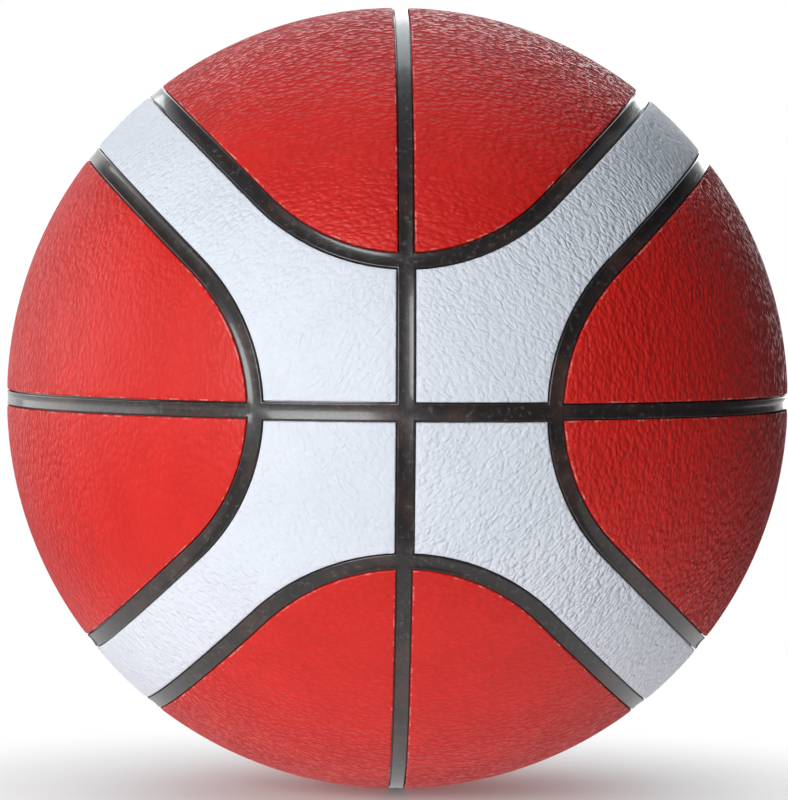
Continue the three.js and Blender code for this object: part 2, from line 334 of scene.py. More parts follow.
# leather grain: domed pebbles parted by thin creases, long folds, slow swells, pores, changes of depth, and a
# mask for painted shade in the hollows
grainForm = {
    "strayScale": 0.3,       # per mm, as the other scales, apart from those against the pebbles
    "pebbleSoftness": 0.5,
    "crackReach": 0.3,       # how far a pebble rounds off towards its crease
    "crackShare": 0.12,
    "foldScale": 0.4,        # against the pebbles
    "foldReach": 0.1,
    "swellScale": 0.6,       # against the pebbles
    "poreScale": 3.2,
    "poreShare": 0.1,
    "patchScale": 0.07,
    "patchRange": (0.3, 0.7),
    "shallowest": 0.85,      # depth of the grain in the flattest patches
    # painted shade in the grain's hollows: how strongly it follows the depth, and the levels over which it
    # fades out
    "hollowGain": 0.3,
    "hollowRange": (0.5, 0.9),
}


def dome(tree, value, reach):  # steep beside the crease, level on top
    short = maths(tree, "SUBTRACT", 1.0, maths(tree, "DIVIDE", value, reach, clamp=True))
    return maths(tree, "SUBTRACT", 1.0, maths(tree, "MULTIPLY", short, short))


def makeLeatherGrain():
    tree, given, put = newGroup("leatherGrain", [
        ("Hide", vectorSocket, None),          # place in the hide, mm
        ("Pebble Size", floatSocket, 1.7),     # mm
        ("Wander", floatSocket, 1.4),          # how far creases stray, mm
        ("Fold Share", floatSocket, 0.5),      # long folds, against the pebbles
        ("Swell Share", floatSocket, 0.8),     # slow swells under the pebbles
        ("Depth", floatSocket, 1.0),           # how deep this hide is grained
    ], [("Height", floatSocket), ("Crease", floatSocket), ("Patch", floatSocket)])
    form = grainForm
    stray = noise(tree, given["Hide"], form["strayScale"], 1.0, 0.5)["Color"]
    offset = vectorMaths(tree, "SUBTRACT", stray, middleGrey)
    bent = vectorMaths(tree, "ADD", given["Hide"], scaled(tree, offset, given["Wander"]))
    pitch = maths(tree, "DIVIDE", 1.0, given["Pebble Size"])
    pebble = maths(tree, "SUBTRACT", 1.0, pebbles(tree, bent, pitch, form["pebbleSoftness"]))
    crack = dome(tree, cracks(tree, bent, pitch), form["crackReach"])
    fold = noise(tree, bent, maths(tree, "MULTIPLY", pitch, form["foldScale"]), 1.0, 0.5)["Fac"]
    fold = dome(tree, maths(tree, "ABSOLUTE", maths(tree, "SUBTRACT", fold, 0.5)), form["foldReach"])
    swell = noise(tree, bent, maths(tree, "MULTIPLY", pitch, form["swellScale"]), 1.0, 0.5)["Fac"]
    pores = noise(tree, given["Hide"], form["poreScale"], 2.0, 0.7)["Fac"]
    patch = noise(tree, given["Hide"], form["patchScale"], 3.0, 0.55)["Fac"]
    patchDepth = ramp(tree, patch, *form["patchRange"], form["shallowest"], 1.0)
    depth = maths(tree, "MULTIPLY", patchDepth, given["Depth"])
    relief = maths(tree, "MULTIPLY_ADD", crack, form["crackShare"], pebble)
    level = maths(tree, "MULTIPLY_ADD", maths(tree, "SUBTRACT", swell, 0.5), given["Swell Share"], relief)
    # painted shade: a mask that darkens the hollows, stronger where the grain is deeper
    hollow = maths(tree, "MULTIPLY", depth, form["hollowGain"], clamp=True)
    hollow = maths(tree, "MULTIPLY", ramp(tree, level, *form["hollowRange"], 1.0, 0.0), hollow)
    relief = maths(tree, "MULTIPLY_ADD", fold, given["Fold Share"], relief)
    relief = maths(tree, "MULTIPLY_ADD", swell, given["Swell Share"], relief)
    relief = maths(tree, "MULTIPLY", relief, depth)
    tree.links.new(maths(tree, "MULTIPLY_ADD", pores, form["poreShare"], relief), put["Height"])
    tree.links.new(hollow, put["Crease"])
    tree.links.new(patch, put["Patch"])
    return tree


# edge wear and painted highlight: broken lighter marks along a cover panel's rim, partly wear where it has
# been handled, partly a painted edge highlight
wearAndHighlightForm = {
    "scale": 0.3,            # per mm
    "soften": 0.12,
    "startsAt": (0.5, 0.62),   # closeness to the rim
    "endsAt": (0.88, 0.97),
}


def makeEdgeWearAndHighlight():
    tree, given, put = newGroup("edgeWearAndHighlight", [
        ("Hide", vectorSocket, None),
        ("Closeness", floatSocket, 0.0),       # 1 on the rim, 0 inside the panel
        ("Break Up", floatSocket, 0.5),
    ], [("Wear And Highlight", floatSocket)])
    patchy = noise(tree, given["Hide"], wearAndHighlightForm["scale"], 5.0, 0.7)["Fac"]
    broken = ramp(tree, patchy, given["Break Up"], maths(tree, "ADD", given["Break Up"], wearAndHighlightForm["soften"]))
    rises = ramp(tree, given["Closeness"], *wearAndHighlightForm["startsAt"])
    falls = ramp(tree, given["Closeness"], *wearAndHighlightForm["endsAt"], 1.0, 0.0)
    rim = maths(tree, "MULTIPLY", rises, falls)
    tree.links.new(maths(tree, "MULTIPLY", broken, rim), put["Wear And Highlight"])
    return tree


leatherGrain = makeLeatherGrain()
edgeWearAndHighlight = makeEdgeWearAndHighlight()
patchTone = (0.35, 0.65)       # where one tone of the hide gives way to the other
wrinkleDepths = (1.0, 3.0)     # depth of grain from level hide to wrinkled hide


def leatherMaterial(name, look):
    material, tree, shader = newMaterial(name)
    hide = addNode(tree, "ShaderNodeAttribute", {"attribute_name": "hide"}).outputs["Vector"]
    closeness = addNode(tree, "ShaderNodeAttribute", {"attribute_name": "rim"}).outputs["Fac"]
    depth = addNode(tree, "ShaderNodeAttribute", {"attribute_name": "depth"}).outputs["Fac"]
    grain = placeGroup(tree, leatherGrain, Hide=hide, Pebble_Size=look["pebbleSize"], Wander=look["wander"],
                       Fold_Share=look["foldShare"], Swell_Share=look["swellShare"], Depth=depth)
    wearAndHighlight = placeGroup(tree, edgeWearAndHighlight, Hide=hide, Closeness=closeness)["Wear And Highlight"]
    toned = mixColour(tree, ramp(tree, grain["Patch"], *patchTone), look["colour"], look["patchColour"])
    # painted shade: the hollows of the grain are darkened in the base colour
    creaseShade = maths(tree, "MULTIPLY", grain["Crease"], look["creaseShadeTint"])
    creaseShaded = mixColour(tree, creaseShade, toned, look["creaseShadeColour"])
    # worn dye and painted edge highlight: lighter broken marks on the panel's rim
    wornAndHighlighted = mixColour(tree, maths(tree, "MULTIPLY", wearAndHighlight, look["wearAndHighlightTint"]), creaseShaded, look["wearAndHighlightColour"])
    tree.links.new(wornAndHighlighted, shader.inputs["Base Color"])
    polished = ramp(tree, depth, *wrinkleDepths, look["roughness"], look["wrinkleRoughness"])
    rough = ramp(tree, grain["Crease"], 0.0, 1.0, polished, look["creaseRoughness"])
    tree.links.new(rough, shader.inputs["Roughness"])
    bump = addNode(tree, "ShaderNodeBump", Strength=look["bump"], Distance=look["grainDepth"] * metre,
                   Height=grain["Height"])
    tree.links.new(bump.outputs[0], shader.inputs["Normal"])
    shader.inputs["Specular IOR Level"].default_value = look["specular"]
    shader.inputs["Sheen Weight"].default_value = look["sheen"]
    shader.inputs["Sheen Roughness"].default_value = look["sheenRoughness"]
    shader.inputs["Sheen Tint"].default_value = look["sheenTint"]
    return material


redLook = {
    "colour": (0.70, 0.016, 0.010, 1),
    "patchColour": (0.66, 0.013, 0.008, 1),
    # the crease colour and tint paint shade into the grain's hollows
    "creaseShadeColour": (0.32, 0.005, 0.004, 1),
    "creaseShadeTint": 0.65,
    # the rim colour and tint give worn dye and a painted edge highlight
    "wearAndHighlightColour": (0.84, 0.36, 0.32, 1),
    "wearAndHighlightTint": 0.6,
    "pebbleSize": 1.45,
    "wander": 1.6,
    "foldShare": 0.08,
    "swellShare": 0.8,
    "grainDepth": 0.40,   # mm
    "bump": 1.0,
    "roughness": 0.48,    # on the pebbles
    "wrinkleRoughness": 0.34,
    "creaseRoughness": 0.8,
    "specular": 0.36,
    "sheen": 0.2,
    "sheenRoughness": 0.35,
    "sheenTint": (1.0, 0.32, 0.35, 1),
}
whiteLook = {
    "colour": (0.75, 0.785, 0.855, 1),
    "patchColour": (0.73, 0.765, 0.84, 1),
    # the crease colour and tint paint shade into the grain's hollows
    "creaseShadeColour": (0.50, 0.53, 0.59, 1),
    "creaseShadeTint": 0.18,
    # the rim colour and tint give worn dye and a painted edge highlight
    "wearAndHighlightColour": (0.88, 0.89, 0.92, 1),
    "wearAndHighlightTint": 0.6,
    "pebbleSize": 1.35,
    "wander": 1.5,
    "foldShare": 0.4,
    "swellShare": 0.3,
    "grainDepth": 0.38,
    "bump": 1.0,
    "roughness": 0.5,
    "wrinkleRoughness": 0.45,
    "creaseRoughness": 0.6,
    "specular": 0.3,
    "sheen": 0.05,
    "sheenRoughness": 0.35,
    "sheenTint": (0.9, 0.95, 1.0, 1),
}
redLeather = leatherMaterial("redLeather", redLook)
whiteLeather = leatherMaterial("whiteLeather", whiteLook)
print("materials: leather ready")


# moulded rubber: a glazed skin, fine pitting, dusty and scuffed places
skinForm = {
    "swellScale": 0.22,      # per mm
    "swellShare": 1.6,
    "dustRange": (0.48, 0.68),
    "scuffScale": 0.6,
    "scuffRange": (0.53, 0.68),
    "scuffRoughness": 0.15,  # added where the skin is scuffed
}


def makeRubberSkin():
    tree, given, put = newGroup("rubberSkin", [
        ("Place", vectorSocket, None),         # mm
        ("Pit Scale", floatSocket, 2.6),       # per mm
        ("Dust Scale", floatSocket, 0.09),
    ], [("Height", floatSocket), ("Dust", floatSocket), ("Scuff", floatSocket)])
    pits = noise(tree, given["Place"], given["Pit Scale"], 3.0, 0.65)["Fac"]
    swell = noise(tree, given["Place"], skinForm["swellScale"], 2.0, 0.5)["Fac"]
    tree.links.new(maths(tree, "MULTIPLY_ADD", swell, skinForm["swellShare"], pits), put["Height"])
    dust = noise(tree, given["Place"], given["Dust Scale"], 4.0, 0.6)["Fac"]
    tree.links.new(ramp(tree, dust, *skinForm["dustRange"]), put["Dust"])
    scuff = noise(tree, given["Place"], skinForm["scuffScale"], 5.0, 0.7)["Fac"]
    tree.links.new(ramp(tree, scuff, *skinForm["scuffRange"]), put["Scuff"])
    return tree


rubberSkin = makeRubberSkin()


def rubberMaterial(name, look):
    material, tree, shader = newMaterial(name)
    place = scaled(tree, addNode(tree, "ShaderNodeTexCoord").outputs["Object"], perMetre)
    skin = placeGroup(tree, rubberSkin, Place=place, Pit_Scale=look["pitScale"], Dust_Scale=look["dustScale"])
    dustHere = maths(tree, "MULTIPLY", skin["Dust"], look["dustTint"])
    dusty = mixColour(tree, dustHere, look["colour"], look["dustColour"])
    scuffHere = maths(tree, "MULTIPLY", skin["Scuff"], look["scuffTint"])
    scuffed = mixColour(tree, scuffHere, dusty, look["scuffColour"])
    tree.links.new(scuffed, shader.inputs["Base Color"])
    roughest = look["roughness"] + skinForm["scuffRoughness"]
    rough = ramp(tree, skin["Scuff"], 0.0, 1.0, look["roughness"], roughest)
    tree.links.new(rough, shader.inputs["Roughness"])
    bump = addNode(tree, "ShaderNodeBump", Strength=look["bump"], Distance=look["pitDepth"] * metre,
                   Height=skin["Height"])
    tree.links.new(bump.outputs[0], shader.inputs["Normal"])
    shader.inputs["Specular IOR Level"].default_value = look["specular"]
    shader.inputs["Coat Weight"].default_value = look["coat"]
    shader.inputs["Coat Roughness"].default_value = look["coatRoughness"]
    return material


ribLook = {
    "colour": (0.021, 0.0165, 0.016, 1),
    "dustColour": (0.085, 0.042, 0.032, 1),
    "dustTint": 0.6,
    "scuffColour": (0.13, 0.125, 0.125, 1),
    "scuffTint": 0.5,
    "pitScale": 2.4,      # per mm
    "dustScale": 0.05,
    "pitDepth": 0.08,     # mm
    "bump": 0.8,
    "roughness": 0.34,
    "specular": 0.5,
    "coat": 0.6,
    "coatRoughness": 0.12,
}
bladderLook = dict(ribLook, colour=(0.012, 0.012, 0.013, 1), dustTint=0.2, scuffTint=0.2,
                   roughness=0.3, coat=0.12)
valveLook = dict(ribLook, colour=(0.040, 0.034, 0.034, 1), dustTint=0.25, scuffTint=0.25,
                 roughness=0.5, coat=0.1)
patchLook = dict(ribLook, colour=(0.020, 0.020, 0.021, 1), dustTint=0.2, scuffTint=0.3,
                 roughness=0.5, coat=0.0)
ribRubber = rubberMaterial("ribRubber", ribLook)
bladderRubber = rubberMaterial("bladderRubber", bladderLook)
valveRubber = rubberMaterial("valveRubber", valveLook)
patchRubber = rubberMaterial("patchRubber", patchLook)
print("materials: rubber ready")


# cover panels
panel = {
    "steps": 56,         # along an edge, from a straight rib to the equator
    "whiteCells": 10,
    "redCells": 22,
    "edgeRound": 0.6,
    "roundSteps": 6,
    "edgeFall": 0.08,    # how far the leather falls away towards its edge
    "fallWidth": 3.0,
    "fallShares": (0.3, 0.55, 0.8),
    "whiteStretch": 0.7,  # under 1 draws the grain out across the panel
    "redStretch": 0.62,
    "bossClearance": 4.5,
    "whiteHideStep": (310.0, 170.0, 90.0),   # mm along the hide from one panel to the next
    "redHideStep": (230.0, 0.0, 130.0),
    "redHalfStep": (60.0, 410.0, 0.0),
    # the grain, and the painted shade in its creases, deepen away from the poles: from this share of the
    # radius forward, over this share, by this gain
    "whiteWrinkle": (0.98, 0.22, 0.8),
    "redWrinkle": (0.68, 0.42, 2.4),
    "grainDepths": {     # no two hides are grained alike
        "white_panel_upper_right": 0.78, "white_panel_lower_right": 0.95,
        "white_panel_lower_left": 0.6, "white_panel_upper_left": 0.55,
        "red_panel_top_right": 0.95, "red_panel_top_left": 1.0,
        "red_panel_right_lower": 1.35, "red_panel_right_upper": 1.25,
        "red_panel_bottom_left": 0.8, "red_panel_bottom_right": 0.8,
        "red_panel_left_upper": 0.55, "red_panel_left_lower": 0.55,
    },
}


def panelQuads(patchAt, edge, cells):
    def ring(inset, radius, closeness):
        patch = patchAt(inset, panel["steps"], cells)
        return {"rims": [lifted(rim, radius, closeness) for rim in patch["rims"]],
                "face": lifted(patch["rows"], radius, closeness)}
    inner = edge + panel["edgeRound"]
    rings = [ring(inner + panel["fallWidth"], ball["radius"], 0.0)]
    for share in panel["fallShares"]:
        fall = panel["edgeFall"] * share ** 2
        rings.append(ring(inner + panel["fallWidth"] * (1 - share), ball["radius"] - fall, 0.5 * share))
    for k in range(panel["roundSteps"] + 1):
        a = halfPi * k / panel["roundSteps"]
        inset = inner - panel["edgeRound"] * math.sin(a)
        radius = ball["radius"] - panel["edgeFall"] - panel["edgeRound"] * (1 - math.cos(a))
        rings.append(ring(inset, radius, 0.5 + 0.5 * math.sin(a)))
    rings.append(ring(edge, ball["panelBack"], 1.0))
    parts = [gridQuads(rings[0]["face"]), gridQuads(rings[-1]["face"])]
    for outer, lower in zip(rings, rings[1:]):
        parts += bandQuads(outer["rims"], lower["rims"])
    return np.concatenate(parts)


# where on its hide a panel was cut, in mm, with the grain drawn out across it, and how deep the grain is
def addHide(mesh, axes, shift, depth, wrinkle):
    points = np.empty(len(mesh.vertices) * 3, np.float32)
    mesh.vertices.foreach_get("co", points)
    flat = points.reshape(-1, 3) / metre @ np.array(axes, float).T + np.array(shift, float)
    hide = mesh.attributes.new("hide", "FLOAT_VECTOR", "POINT")
    hide.data.foreach_set("vector", flat.astype(np.float32).ravel())
    forward = np.abs(points.reshape(-1, 3)[:, 1]) / (ball["radius"] * metre)   # 1 at the poles
    start, over, gain = wrinkle
    share = np.clip((start - forward) / over, 0, 1)
    grained = mesh.attributes.new("depth", "FLOAT", "POINT")
    grained.data.foreach_set("value", (depth * (1 + gain * share)).astype(np.float32))


def addPanel(name, quads, axes, turn, shift, material):
    mesh = meshFrom(name, quads, "rim")
    addHide(mesh, axes, shift, panel["grainDepths"][name], panel[name.split("_")[0] + "Wrinkle"])
    mesh.transform(turn.to_4x4())
    addPiece(name, mesh, material, "ball", name)


def quarterTurns(k):  # about the pole axis: top to right
    return Matrix.Rotation(k * halfPi, 3, "Y")


whiteQuads = panelQuads(whitePatch, ball["whiteEdge"], panel["whiteCells"])
whiteQuads = mirrored(mirrored(whiteQuads, order=(2, 1, 0)), signs=(1, -1, 1))
tip = np.linalg.norm(whiteQuads[..., [0, 2]], axis=-1, keepdims=True)
atValve = (whiteQuads[..., 1:2] > 0) & (tip < panel["bossClearance"])
whiteQuads[..., [0, 2]] *= np.where(atValve, panel["bossClearance"] / tip, 1.0)
drawn = panel["whiteStretch"] / root2
whiteAxes = [[1 / root2, 0, 1 / root2], [0, 1, 0], [drawn, 0, -drawn]]
for k, place in enumerate(("upper_right", "lower_right", "lower_left", "upper_left")):
    turn = quarterTurns(k)
    shift = [k * step for step in panel["whiteHideStep"]]
    addPanel("white_panel_" + place, whiteQuads, whiteAxes, turn, shift, whiteLeather)

redQuads = mirrored(panelQuads(redPatch, ball["redEdge"], panel["redCells"]), signs=(1, -1, 1))
redAxes = [[panel["redStretch"], 0, 0], [0, 1, 0], [0, 0, 1]]
halfTurn = Matrix.Rotation(math.pi, 3, "Z")
redPlaces = (("top_right", "top_left"), ("right_lower", "right_upper"),
             ("bottom_left", "bottom_right"), ("left_upper", "left_lower"))
for k, pair in enumerate(redPlaces):
    for half, place in enumerate(pair):
        turn = quarterTurns(k) @ (halfTurn if half else Matrix.Identity(3))
        shift = [k * step + half * more for step, more in zip(panel["redHideStep"], panel["redHalfStep"])]
        addPanel("red_panel_" + place, redQuads, redAxes, turn, shift, redLeather)
print("panels: 4 white and 8 red made")


# carcass: pocket floors, dished ribs and the boss round the valve hole, in one piece
rib = {
    "clearance": 0.35,   # the dark line between a rib and the panels beside it
    "shoulder": 0.35,
    "dish": 0.2,         # by which a rib's middle lies below its edges
    "shoulderSteps": 5,
    "dishSteps": 7,
    "bossRadius": 4.2,
    "boreRadius": 3.0,
    "bossRound": 0.35,
    "bossRoundSteps": 5,
    "lipWidth": 0.3,     # the bore's mouth opens out by this
    "lipStep": 0.1,
    "lipDepth": 0.35,
    "holeFrom": 90.0,    # the hole's cutter, from inside the ball to outside it
    "holeTo": 125.0,
    "holeSegments": 72,
    "insideSteps": 60,
    "insideSegments": 96,
    "insideMargin": 0.1,
    "mergeWithin": 0.002,
    "collapseUnder": 0.001,
}


# from the pocket up over the shoulder to the rib's middle: distance from the middle, radius
def ribProfile(edge):
    side, top = edge - rib["clearance"], ball["ribTop"]
    flatHalf = side - rib["shoulder"]
    profile = [(side, ball["pocketFloor"])]
    for k in range(rib["shoulderSteps"] + 1):
        a = halfPi * k / rib["shoulderSteps"]
        profile.append((flatHalf + rib["shoulder"] * math.cos(a), top - rib["shoulder"] * (1 - math.sin(a))))
    for k in range(1, rib["dishSteps"] + 1):
        d = flatHalf * (1 - k / rib["dishSteps"])
        profile.append((d, top - rib["dish"] * (1 - (d / flatHalf) ** 2)))
    return profile


def carcassQuads():
    parts = []
    for patchAt, edge, cells in ((whitePatch, ball["whiteEdge"], panel["whiteCells"]),
                                 (redPatch, ball["redEdge"], panel["redCells"])):
        rings, profile = [], ribProfile(edge)
        for inset, radius in profile:
            patch = patchAt(inset, panel["steps"], cells)
            rings.append([lifted(rim, radius) for rim in patch["rims"]])
        pocket = patchAt(profile[0][0], panel["steps"], cells)
        parts.append(gridQuads(lifted(pocket["rows"], profile[0][1])))
        for outer, lower in zip(rings, rings[1:]):
            parts += bandQuads(outer, lower)
    quads = mirrored(np.concatenate(parts), order=(2, 1, 0))
    for signs in ((-1, 1, 1), (1, 1, -1), (1, -1, 1)):
        quads = mirrored(quads, signs=signs)
    insideLine = arcPoints(ball["carcassInside"], 0, math.pi, rib["insideSteps"])
    inside = turnedQuads(insideLine, rib["insideSegments"])
    return np.concatenate([quads, inside])


def cutWith(piece, cutter, operation):
    step = piece.modifiers.new("valveHole", "BOOLEAN")
    step.operation = operation
    step.solver = "EXACT"
    step.object = cutter
    bpy.context.view_layer.update()
    done = bpy.data.meshes.new_from_object(piece.evaluated_get(bpy.context.evaluated_depsgraph_get()))
    piece.modifiers.remove(step)
    bpy.data.objects.remove(cutter)
    return done


# turns the faces inside this radius over, so that the space within them is hollow
def faceInwards(mesh, radius):
    work = bmesh.new()
    work.from_mesh(mesh)
    inner = [face for face in work.faces if face.calc_center_median().length < radius * metre]
    bmesh.ops.reverse_faces(work, faces=inner)
    work.to_mesh(mesh)
    work.free()


def mergeSlivers(mesh):  # the cuts leave points a hair apart
    work = bmesh.new()
    work.from_mesh(mesh)
    bmesh.ops.remove_doubles(work, verts=work.verts, dist=rib["mergeWithin"] * metre)
    bmesh.ops.dissolve_degenerate(work, edges=work.edges, dist=rib["collapseUnder"] * metre)
    work.to_mesh(mesh)
    work.free()


def makeCarcass():
    work = bpy.data.objects.new("carcassWork", meshFrom("carcassWork", carcassQuads()))
    bpy.context.scene.collection.objects.link(work)
    faceInwards(work.data, ball["carcassInside"] + rib["insideMargin"])
    foot = (ball["carcassInside"] + ball["pocketFloor"]) / 2
    bossTop = ball["ribTop"]
    bossLine = [[0, foot], [rib["bossRadius"], foot]]
    for k in range(rib["bossRoundSteps"] + 1):
        a = halfPi * k / rib["bossRoundSteps"]
        bossLine.append([rib["bossRadius"] - rib["bossRound"] * (1 - math.cos(a)),
                         bossTop - rib["bossRound"] * (1 - math.sin(a))])
    bossLine.append([0, bossTop])
    bore = rib["boreRadius"]
    holeLine = [
        [0, rib["holeFrom"]],
        [bore, rib["holeFrom"]],
        [bore, bossTop - rib["lipDepth"]],
        [bore + rib["lipStep"], bossTop - rib["lipStep"]],
        [bore + rib["lipWidth"], bossTop],
        [bore + rib["lipWidth"], rib["holeTo"]],
        [0, rib["holeTo"]],
    ]
    for line, operation in ((bossLine, "UNION"), (holeLine, "DIFFERENCE")):
        cutterMesh = meshFrom("valveCutter", turnedQuads(line, rib["holeSegments"]))
        cutter = bpy.data.objects.new("valveCutter", cutterMesh)
        bpy.context.scene.collection.objects.link(cutter)
        work.data = cutWith(work, cutter, operation)
    mesh = work.data
    bpy.data.objects.remove(work)
    mergeSlivers(mesh)
    return mesh


addPiece("carcass", makeCarcass(), ribRubber, "ball", "carcass", sharpAngle=50)
print("carcass: ribs, pockets and valve boss made")


# valve: the plug that can be drawn out, and its flanged sleeve inside
valve = {
    "plugRadius": 2.7,
    "plugTop": 120.58,
    "plugNose": 97.9,
    "noseTaper": 3.0,
    "noseRadius": 2.0,
    "needleRadius": 0.7,
    "funnelRadius": 1.3,
    "funnelDepth": 1.2,
    "neckRadius": 5.0,
    "sleeveEnd": 95.6,
    "flangeRadius": 14.0,
    "flangeThickness": 1.2,
    "sleeveWall": 1.4,
    "sleeveFloor": 2.0,
    "lining": 115.6,
    "plugRounds": [0.1, 0.5, 1.0, 0.5, 0.3, 0.3],   # one for each corner
    "plugRoundSteps": 6,
    "sleeveRounds": [0.2, 0.8, 0.8, 0.5, 0.4, 0.0, 0.2, 0.2, 0.3, 0.2],
    "sleeveRoundSteps": 5,
    "segments": 64,
}


def plugProfile():
    v = valve
    points = [
        [v["needleRadius"], v["plugNose"]],
        [v["noseRadius"], v["plugNose"]],
        [v["plugRadius"], v["plugNose"] + v["noseTaper"]],
        [v["plugRadius"], v["plugTop"]],
        [v["funnelRadius"], v["plugTop"]],
        [v["needleRadius"], v["plugTop"] - v["funnelDepth"]],
    ]
    return roundedCorners(points, v["plugRounds"], v["plugRoundSteps"])


def sleeveProfile():
    v = valve
    outlet = v["needleRadius"] + ball["fitGap"]
    flangeTop = math.sqrt(v["lining"] ** 2 - v["neckRadius"] ** 2)
    flangeEdge = math.sqrt(v["lining"] ** 2 - v["flangeRadius"] ** 2)
    neckTop = math.sqrt(ball["carcassInside"] ** 2 - v["neckRadius"] ** 2) - ball["fitGap"]
    points = [
        [outlet, v["sleeveEnd"]],
        [rib["boreRadius"] + v["sleeveWall"], v["sleeveEnd"]],
        [v["neckRadius"], flangeTop - v["flangeThickness"]],
        [v["flangeRadius"], flangeEdge - v["flangeThickness"]],
        [v["flangeRadius"], flangeEdge],
        [v["neckRadius"], flangeTop],
        [v["neckRadius"], neckTop],
        [rib["boreRadius"], neckTop],
        [rib["boreRadius"], v["sleeveEnd"] + v["sleeveFloor"]],
        [outlet, v["sleeveEnd"] + v["sleeveFloor"]],
    ]
    return roundedCorners(points, v["sleeveRounds"], v["sleeveRoundSteps"])


plugMesh = meshFrom("valve_plug", turnedQuads(plugProfile(), valve["segments"]))
addPiece("valve_plug", plugMesh, valveRubber, "valve_plug", "valve_plug")
sleeveMesh = meshFrom("valve_housing", turnedQuads(sleeveProfile(), valve["segments"]))
addPiece("valve_housing", sleeveMesh, valveRubber, "ball", "valve_housing")
print("valve: plug and sleeve made")


# layers under the cover
layers = {
    "windingOutside": 117.4,
    "windingInside": 116.9,
    "bladderOutside": 116.6,
    "bladderInside": 115.9,
    "neckHole": 5.3,
    "patchRadius": 16.0,
    "patchThickness": 2.6,
    "patchBevel": 1.0,
    "patchSteps": 14,
    "patchSegments": 64,
    "shellSteps": 64,
    "shellSegments": 96,
}


def shellMesh(name, outside, inside):
    stop = math.pi - math.asin(layers["neckHole"] / layers["bladderInside"])
    steps = layers["shellSteps"]
    profile = arcPoints(outside, 0, stop, steps) + arcPoints(inside, stop, 0, steps)
    return meshFrom(name, turnedQuads(profile, layers["shellSegments"]))


def patchMesh():
    radius, back = layers["patchRadius"], valve["lining"] - layers["patchThickness"]
    steps = layers["patchSteps"]
    outer = arcPoints(valve["lining"], 0, math.asin(radius / valve["lining"]), steps)
    inner = arcPoints(back, math.asin((radius - layers["patchBevel"]) / back), 0, steps)
    return meshFrom("balance_patch", turnedQuads(outer + inner, layers["patchSegments"]))


threadLook = {
    "pitch": 0.9,            # mm between threads
    "strayScale": 0.05,      # per mm
    "stray": 9.0,            # mm
    "ways": ((0.8, 0.2, 0.56), (-0.35, 0.85, 0.4), (0.3, 0.55, -0.78), (-0.7, -0.1, 0.7)),
    "layFrom": -0.2,
    "shadeColour": (0.30, 0.26, 0.19, 1),
    "threadColour": (0.66, 0.62, 0.52, 1),
    "shadeRoughness": 0.85,
    "threadRoughness": 0.6,
    "bump": 0.8,
    "depth": 0.2,            # mm
}


def threadMaterial(look):
    material, tree, shader = newMaterial("woundThread")
    place = scaled(tree, addNode(tree, "ShaderNodeTexCoord").outputs["Object"], perMetre)
    stray = noise(tree, place, look["strayScale"])["Color"]
    offset = vectorMaths(tree, "SUBTRACT", stray, middleGrey)
    bent = vectorMaths(tree, "ADD", place, scaled(tree, offset, look["stray"]))
    perThread = 2 * math.pi / look["pitch"]
    strands = None
    for way in look["ways"]:
        across = addNode(tree, "ShaderNodeVectorMath", {"operation": "DOT_PRODUCT"})
        feed(tree, across.inputs[0], bent)
        feed(tree, across.inputs[1], way)
        wave = maths(tree, "SINE", maths(tree, "MULTIPLY", across.outputs["Value"], perThread))
        strands = wave if strands is None else maths(tree, "MAXIMUM", strands, wave)
    lay = ramp(tree, strands, look["layFrom"], 1.0)
    colour = mixColour(tree, lay, look["shadeColour"], look["threadColour"])
    tree.links.new(colour, shader.inputs["Base Color"])
    rough = ramp(tree, lay, 0.0, 1.0, look["shadeRoughness"], look["threadRoughness"])
    tree.links.new(rough, shader.inputs["Roughness"])
    bump = addNode(tree, "ShaderNodeBump", Strength=look["bump"], Distance=look["depth"] * metre, Height=lay)
    tree.links.new(bump.outputs[0], shader.inputs["Normal"])
    return material


addPiece("thread_winding", shellMesh("thread_winding", layers["windingOutside"], layers["windingInside"]),
         threadMaterial(threadLook), "ball", "thread_winding")
addPiece("bladder", shellMesh("bladder", layers["bladderOutside"], layers["bladderInside"]),
         bladderRubber, "ball", "bladder")
addPiece("balance_patch", patchMesh(), patchRubber, "ball", "balance_patch")
print("layers: winding, bladder and balance patch made")


# studio: white floor and sweep, soft lamps, camera
studio = {
    "floorHeight": -0.1212,
    "floorRadius": 4.0,
    "floorSegments": 128,
    "floorColour": (0.52, 0.52, 0.52, 1),
    "shadowReach": 0.2,    # metres from the ball's foot over which the floor turns from matt to white
    "shadowWhite": 0.1,    # share of white at the foot itself
    # what reflections see in the floor: white behind, pale at the left, a dark room elsewhere
    "floorBehind": (0.5, 2.0),
    "floorLeft": (-1.0, 0.0),
    "floorLeftLevel": 0.85,
    "floorDark": 0.02,
    "ambient": (0.007, 0.01, 0.015, 1),
    "sweepFrom": (0.8, 0.92),   # the white backdrop behind the ball, as reflections see it
    "lamps": [
        # name, azimuth, elevation, distance, width, height, level, tint:
        # a white card at the ball that faces the lamp renders at this level
        ("keyLamp", -23, 12, 2.2, 1.2, 1.5, 1.0, (0.985, 1.0, 1.01)),
        ("wallLamp", -108, 3, 2.2, 3.0, 1.9, 0.82, (1.0, 1.0, 1.0)),
        ("rearLamp", 180, 43, 2.2, 1.6, 2.0, 0.46, (0.90, 0.96, 1.0)),
        ("fillLamp", 168, 12, 2.2, 1.0, 1.2, 0.20, (1.0, 1.0, 1.0)),
        ("skyLamp", 160, 80, 2.2, 3.0, 3.0, 0.11, (0.84, 0.93, 1.0)),
    ],
    # x, y, width, level: it lies on the floor under the ball and faces up
    "tableLamp": (0.02, 0.0, 0.42, 0.58),
    "tableLampLift": 0.0003,
}


